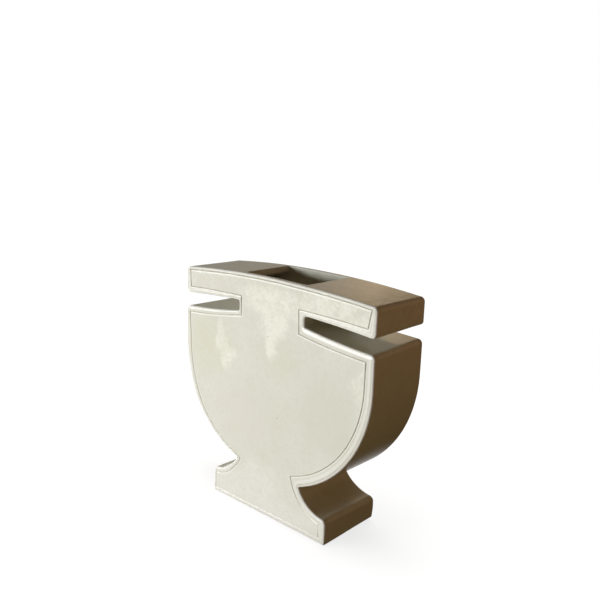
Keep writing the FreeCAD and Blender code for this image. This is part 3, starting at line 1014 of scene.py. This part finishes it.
# Where the glaze ran thicker or thinner, and painted reflections: the pale pools low on the
# front paint the floor's reflection, the sheen pools paint window reflections. x and z of
# the middle, reach across and upwards, tone and strength
poolsAndSheen = {
    "bend": (22 * mm,) * 3,  # how far the edges of a pool stray
    "bendScale": 70.0,
    "through": 0.2,  # reach through the depth
    "solid": 0.3,  # share of the reach that is full
    "places": [
        (-66.0, 122.0, 44.0, 34.0, "olive", 0.9),
        (-30.0, 76.0, 52.0, 32.0, "lilac", 0.9),
        (56.0, 92.0, 40.0, 46.0, "green", 0.6),
        (10.0, 128.0, 34.0, 22.0, "olive", 0.6),
        (-8.0, 26.0, 34.0, 24.0, "pale", 1.2),
        (-46.0, 12.0, 40.0, 20.0, "pale", 1.6),
        (12.0, 8.0, 60.0, 16.0, "pale", 1.6),
        (-62.0, 168.0, 34.0, 14.0, "lilac", 0.9),
        (60.0, 170.0, 50.0, 18.0, "frost", 1.5),
        (0.0, 168.0, 40.0, 15.0, "frost", 1.7),
        (3.0, 153.0, 18.0, 22.0, "frost", 2.1),
        (1.0, 138.0, 9.0, 20.0, "frost", 1.9),
        (-53.0, 131.0, 9.0, 16.0, "frost", 1.0),
        (-45.0, 116.0, 11.0, 12.0, "frost", 1.0),
        (82.0, 126.0, 8.0, 20.0, "frost", 0.7),
    ],
}


leastSpeck = 0.35  # share of the largest one's size
speckEdge = 0.55  # share of a speck's reach where it starts to fade


def specks(graph, cells, size, share):
    # Small round marks in some of the cells of a scattered pattern
    values = {"Vector": graph.place, "Scale": cells}
    distance = graph.node("TexVoronoi", values, "Distance")
    tint = graph.node("TexVoronoi", values, "Color")
    picked, extent = graph.axis(tint, 0), graph.axis(tint, 1)
    reach = (leastSpeck + extent * (1 - leastSpeck)) * (size * cells)
    inside = 1 - graph.ease(distance / reach, speckEdge, 1.0)
    return inside * picked.over(1 - share)


def clouding(graph, name):
    noise, reach, strength = glaze[name]
    return graph.ease(graph.noise(*noise), *reach) * strength


def relief(graph, name):
    noise, height = glaze[name]
    return graph.noise(*noise) * height


def addPoolsAndSheen(graph, tone):
    # Pools of glaze tone, and painted reflections of the floor and of windows
    wisp = glaze["leastWisp"] + clouding(graph, "wisp") + clouding(graph, "curd")
    bend = graph.noise(poolsAndSheen["bendScale"], output="Color")
    bend = graph.vector("MULTIPLY", graph.vector("SUBTRACT", bend, (0.5,) * 3), poolsAndSheen["bend"])
    bent = graph.vector("ADD", graph.place, bend)
    for x, z, across, upwards, name, strength in poolsAndSheen["places"]:
        away = graph.vector("SUBTRACT", bent, (x * mm, 0.0, z * mm))
        away = graph.vector("DIVIDE", away, (across * mm, poolsAndSheen["through"], upwards * mm))
        share = 1 - graph.ease(graph.length(away), poolsAndSheen["solid"], 1.0)
        tone = graph.mix(share * wisp * strength, tone, glaze[name])
    return tone


def makeGlaze():
    g = glaze
    material, graph = newMaterial("creamGlaze")
    height = graph.axis(graph.place, 2)
    arris = graph.mark("arris")
    incised = graph.mark("incised")

    tone = graph.mix(clouding(graph, "cloud"), g["cream"], g["pale"])
    tone = graph.mix(clouding(graph, "patch"), tone, g["warm"])
    tone = graph.mix(clouding(graph, "mottle"), tone, g["warm"])
    tone = addPoolsAndSheen(graph, tone)
    # Painted reflection streaks, strongest above the slots
    reach, least = g["streakedShare"]
    streakedShare = least + graph.ease(height, *reach) * (1 - least)
    tone = graph.mix(clouding(graph, "veil") * streakedShare, tone, g["warm"])
    # Painted highlight over the arrises, the line's lit bank and the band's ridge
    tone = graph.mix(arris * g["arrisHighlightShare"], tone, g["arris"])
    strength, reach = g["lineShare"]
    tone = graph.mix(graph.ease(incised, *reach) * strength, tone, g["pooled"])

    marks = {}
    for name, shown in (("faint", "warm"), ("iron", "speck"), ("pins", "pooled")):
        pattern, strength = g[name]
        marks[name] = specks(graph, *pattern)
        tone = graph.mix(marks[name] * strength, tone, g[shown])

    noise, stray = g["wipedEdge"]
    foot = height + (graph.noise(*noise) - 0.5) * stray
    bare = 1 - graph.ease(foot, g["wiped"] * g["wipedShare"], g["wiped"])
    tone = graph.mix(bare, tone, g["clay"])

    grain = graph.noise(*g["grain"][0])
    rough, arrisReach, lineReach = g["lineRough"]
    lined = graph.ease(arris, *arrisReach).most(graph.ease(incised, *lineReach))
    shine = g["gloss"] + clouding(graph, "streak") + grain * g["grainRough"]
    shine = shine + lined * rough + bare * g["bareRough"] + marks["pins"] * g["pinRough"]

    reach, least, added = g["wrinkled"]
    wrinkled = least + graph.ease(height, *reach) * added
    ripple = relief(graph, "ripple") * wrinkled * (1 - lined * g["calm"])
    peel = relief(graph, "peel") - marks["pins"] * g["pinDepth"]
    surface = relief(graph, "swell") + ripple + peel * (1 - lined)
    surface = surface + marks["iron"] * g["ironHeight"] + bare * grain * g["grain"][1]
    coverWith(graph, tone, shine, surface)
    return material


clay = {
    "dark": colour(176, 150, 118),
    "light": colour(200, 177, 146),
    "grog": colour(132, 100, 70),
    "dust": colour(214, 196, 168),
    # The noise, where its tone starts and is full, and its height
    "cloud": ((40.0, 4.0, 0.6), (0.3, 0.7), 0.1 * mm),
    "grain": ((1100.0, 4.0, 0.7), (0.5, 0.8), 0.07 * mm),
    "dustShare": 0.25,
    # How many cells to the metre, size and share of the cells, then strength and depth
    "grogs": ((420.0, 0.7 * mm, 0.35), 0.45, 0.05 * mm),
    "rough": (0.78, 0.15),
}


def makeBareClay():
    material, graph = newMaterial("bareClay")
    noise, reach, cloudHeight = clay["cloud"]
    cloud = graph.noise(*noise)
    tone = graph.mix(graph.ease(cloud, *reach), clay["dark"], clay["light"])
    pattern, strength, depth = clay["grogs"]
    grog = specks(graph, *pattern)
    tone = graph.mix(grog * strength, tone, clay["grog"])
    noise, reach, grainHeight = clay["grain"]
    grain = graph.noise(*noise)
    tone = graph.mix(graph.ease(grain, *reach) * clay["dustShare"], tone, clay["dust"])
    surface = grain * grainHeight + cloud * cloudHeight - grog * depth
    least, added = clay["rough"]
    coverWith(graph, tone, least + grain * added, surface)
    return material


# The vase put together


def finishPiece(node, bm, bare=None):
    # bare is the material of the faces that are left without glaze
    for vert in bm.verts:
        vert.co = handBuilt(*vert.co)
    words = node.split("_")
    name = words[0] + "".join(word.capitalize() for word in words[1:])
    mesh = bpy.data.meshes.new(name)
    bm.to_mesh(mesh)
    bm.free()
    mesh.materials.append(creamGlaze)
    if bare:
        mesh.materials.append(bare)
    mesh.shade_smooth()
    piece = newObject(name, mesh)
    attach(piece, "root")
    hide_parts(node)
    return piece


underside = {
    "height": 0.2 * mm,  # faces below this
    "facing": 0.9,  # that look down this much
}


def markUnderside(bm):
    # The underside of the base stays bare clay
    for face in bm.faces:
        low = face.calc_center_median().z < underside["height"]
        down = face.normal.z < -underside["facing"]
        face.material_index = 1 if low and down else 0


seams = {
    "reach": 0.004 * mm,  # points of neighbouring pieces this close share a normal
    "fold": 38.0,  # degrees, past which an edge stays crisp
}


def sharedSpots(pieces):
    # For each vertex of all the pieces, the first one at the same place
    spots = [vert.co.copy() for piece in pieces for vert in piece.data.vertices]
    tree = treeOf(spots)
    group = list(range(len(spots)))
    for index, spot in enumerate(spots):
        if group[index] == index:
            for _, other, _ in tree.find_range(spot, seams["reach"]):
                if group[other] == other and other > index:
                    group[other] = index
    return group


def faceCorners(pieces, group):
    offset = 0
    for piece in pieces:
        for face in piece.data.polygons:
            for vertex in face.vertices:
                yield piece, face, group[offset + vertex]
        offset += len(piece.data.vertices)


def matchNormals(pieces):
    # Soft normals that run on across the seams between pieces
    group = sharedSpots(pieces)
    limit = math.cos(math.radians(seams["fold"]))
    leaning = {}
    for _, face, spot in faceCorners(pieces, group):
        leaning.setdefault(spot, []).append((face.normal.copy(), face.area))
    normals = {piece: [] for piece in pieces}
    for piece, face, spot in faceCorners(pieces, group):
        total = Vector((0.0, 0.0, 0.0))
        for normal, area in leaning[spot]:
            if normal.dot(face.normal) > limit:
                total += normal * area
        normals[piece].append(total.normalized())
    for piece in pieces:
        piece.data.normals_split_custom_set(normals[piece])


creamGlaze = makeGlaze()
bareClay = makeBareClay()
tree = sweepTree()
pieces = [finishPiece("front_slab", makeFrontSlab()), finishPiece("back_slab", makeBackSlab())]
print("faces built")
for node, profile in wallProfiles().items():
    bm = sweepWall(node, profile, tree)
    if node == "base_slab":
        markUnderside(bm)
        pieces.append(finishPiece(node, bm, bareClay))
    else:
        pieces.append(finishPiece(node, bm))
print("walls swept")
matchNormals(pieces)
print("normals matched")


# Floor, light and camera
studio = {
    "floorSize": 12.0,
    "roomTone": (0.05, 0.038, 0.022, 1.0),
    "tableTone": (0.095, 0.066, 0.034, 1.0),
    "screenTones": [  # from the far left to the right, as shares of its width
        (0.09, (0.52, 0.48, 0.4, 1.0)),
        (0.17, (0.58, 0.51, 0.41, 1.0)),
        (0.25, (1.1, 0.86, 0.58, 1.0)),
        (0.33, (0.5, 0.37, 0.23, 1.0)),
        (0.5, (0.16, 0.095, 0.036, 1.0)),
        (0.66, (0.08, 0.066, 0.028, 1.0)),
        (0.8, (0.27, 0.15, 0.062, 1.0)),
        (0.93, (0.42, 0.22, 0.105, 1.0)),
    ],
    "screenFade": (0.0, 0.4),  # it dims towards the floor
    "screenFoot": (0.34, 0.37, 0.36, 1.0),
    "screenRise": (0.38, 0.55),  # and above the vase
    "screenTop": (0.25, 0.25, 0.25, 1.0),
    "screenReach": 0.62,  # from the vase
    "screenHeight": 1.1,
    "screenTurns": (-70.0, 95.0),  # from behind to the left, to behind to the right
    "screenSteps": 48,
    "floorGlow": 1.04,  # with the key's light on it, near the vase, this comes to white
    "matSpan": ((-0.06, -0.03), (0.62, 0.6)),  # a mat that glows in the same tones lies on the floor to the right
    "matFade": (-0.06, 0.08),  # and thins out towards the left
    "matLevel": 1 * mm,
    "shade": 0.24,  # how much of the vase's shadow the floor shows
    "shadeFade": (0.25, 1.1),  # where that starts to fade and ends, from the vase's middle
}

# Watts, size, distance from the vase's middle, turn round it from the front, and rise
lamps = {
    "key": (63.5, (1.5, 0.6), 2.3, -34.0, 2.5),
    "floorLamp": (24.0, (1.0, 1.0), 1.3, 0.0, 90.0),  # only lights the floor
    "backLamp": (5.0, (0.7, 0.16), 1.2, 196.0, 3.0),  # only lights the vase
}


def seenDirectly(graph):
    # One for the camera's rays and for what polished surfaces show, and nothing for the light
    wanted = ("Is Camera Ray", "Is Glossy Ray", "Is Transmission Ray", "Diffuse Depth")
    rays = (graph.node("LightPath", None, name) for name in wanted)
    camera, glossy, through, depth = rays
    return camera.most(glossy * (1 - depth.over(0.5))).most(through)


def makeWorld():
    world = bpy.data.worlds.new("studioAir")
    scene.world = world
    world.use_nodes = True
    graph = Graph(world.node_tree)
    tone = graph.mix(seenDirectly(graph), studio["roomTone"], white)
    air = graph.node("Background", {"Color": tone, "Strength": 1.0})
    graph.node("OutputWorld", {"Surface": air})


def makeCard(name, corners, faces, material):
    mesh = bpy.data.meshes.new(name)
    mesh.from_pydata(corners, [], faces)
    mesh.materials.append(material)
    card = newObject(name, mesh)
    return card


def levelSquare(low, high, z):
    (left, front), (right, back) = low, high
    return [(left, front, z), (right, front, z), (right, back, z), (left, back, z)]


def makeFloor():
    material, graph = newMaterial("paleFloor")
    paint = graph.node("BsdfDiffuse", {"Color": white})
    glow = graph.node("Emission", {"Color": white, "Strength": studio["floorGlow"]})
    near = 1 - graph.ease(graph.length(graph.place), *studio["shadeFade"])
    pale = graph.node("MixShader", {0: near * studio["shade"], 1: glow, 2: paint})
    # For bounced light the floor is a dark brown table, so the vase's shaded sides stay dark
    table = graph.node("BsdfDiffuse", {"Color": studio["tableTone"]})
    both = graph.node("MixShader", {0: seenDirectly(graph), 1: table, 2: pale})
    graph.node("OutputMaterial", {"Surface": both})
    half = studio["floorSize"] / 2
    square = levelSquare((-half, -half), (half, half), 0.0)
    return makeCard("floor", square, [(0, 1, 2, 3)], material)


def makeScreen():
    # A warm screen that glows stands round the back and the right, with its glowing mat; they
    # light the vase and show in its glaze as reflections. The camera doesn't see it.
    material, graph = newMaterial("glowingScreen")
    across, height = graph.axis(graph.place, 0), graph.axis(graph.place, 2)
    share = across / (2 * studio["screenReach"]) + 0.5
    tone = graph.node("ValToRGB", {"Fac": share}, stops=studio["screenTones"])
    foot = 1 - graph.ease(height, *studio["screenFade"])
    tone = graph.mix(foot, tone, studio["screenFoot"], "MULTIPLY")
    top = graph.ease(height, *studio["screenRise"])
    tone = graph.mix(top, tone, studio["screenTop"], "MULTIPLY")
    glow = graph.node("Emission", {"Color": tone, "Strength": 1.0})
    clear = graph.node("BsdfTransparent")
    standing = height.over(2 * studio["matLevel"])
    solid = graph.ease(across, *studio["matFade"]).most(standing)
    cloth = graph.node("MixShader", {0: solid, 1: clear, 2: glow})
    graph.node("OutputMaterial", {"Surface": cloth})

    steps, reach = studio["screenSteps"], studio["screenReach"]
    first, last = studio["screenTurns"]
    places = []
    for step in range(steps + 1):
        turn = math.radians(first + (last - first) * step / steps)
        x, y = reach * math.sin(turn), reach * math.cos(turn)
        places += [(x, y, 0.0), (x, y, studio["screenHeight"])]
    faces = [(i, i + 2, i + 3, i + 1) for i in range(0, 2 * steps, 2)]
    faces.append(tuple(range(len(places), len(places) + 4)))
    places += levelSquare(*studio["matSpan"], studio["matLevel"])
    screen = makeCard("screen", places, faces, material)
    screen.visible_camera = False
    screen.visible_shadow = False


def outwardsAt(azimuth, elevation):
    turn, rise = math.radians(azimuth), math.radians(elevation)
    level = math.cos(rise)
    return Vector((math.sin(turn) * level, -math.cos(turn) * level, math.sin(rise)))


def makeLamp(name, lit=None):
    watts, size, distance, azimuth, elevation = lamps[name]
    lamp = bpy.data.lights.new(name, "AREA")
    lamp.shape = "RECTANGLE"
    lamp.size, lamp.size_y = size
    lamp.energy = watts
    towards = outwardsAt(azimuth, elevation)
    made = newObject(name, lamp)
    made.location = (cadLow + cadHigh) / 2 + towards * distance
    made.rotation_euler = towards.to_track_quat("Z", "Y").to_euler()
    if lit:
        receivers = bpy.data.collections.new(f"{name}Lights")
        for receiver in lit:
            receivers.objects.link(receiver)
        made.light_linking.receiver_collection = receivers
    return made


# The photo's viewing angle
view = {
    "place": (0.35757, -0.38266, 0.2796),
    "azimuth": 42.77,
    "elevation": 12.352,
    "roll": 1.935,
    "pixels": 600,
    "focalPixels": 723.16,
    "sensor": 36.0,  # millimetres
}


def makeCamera():
    back = outwardsAt(view["azimuth"], view["elevation"])
    roll = math.radians(view["roll"])
    level = Vector((0.0, 0.0, 1.0)).cross(back).normalized()
    upright = back.cross(level)
    right = level * math.cos(roll) + upright * math.sin(roll)
    up = upright * math.cos(roll) - level * math.sin(roll)
    data = bpy.data.cameras.new("camera")
    data.sensor_width = view["sensor"]
    data.lens = view["sensor"] * view["focalPixels"] / view["pixels"]
    camera = newObject("camera", data)
    turnTo = Matrix((right, up, back)).transposed().to_4x4()
    camera.matrix_world = Matrix.Translation(Vector(view["place"])) @ turnTo
    scene.camera = camera


makeWorld()
floor = makeFloor()
makeScreen()
makeLamp("key")
makeLamp("floorLamp", [floor])
backLamp = makeLamp("backLamp", pieces)
backLamp.visible_glossy = False
makeCamera()
scene.view_settings.view_transform = "Standard"
print("studio set up")
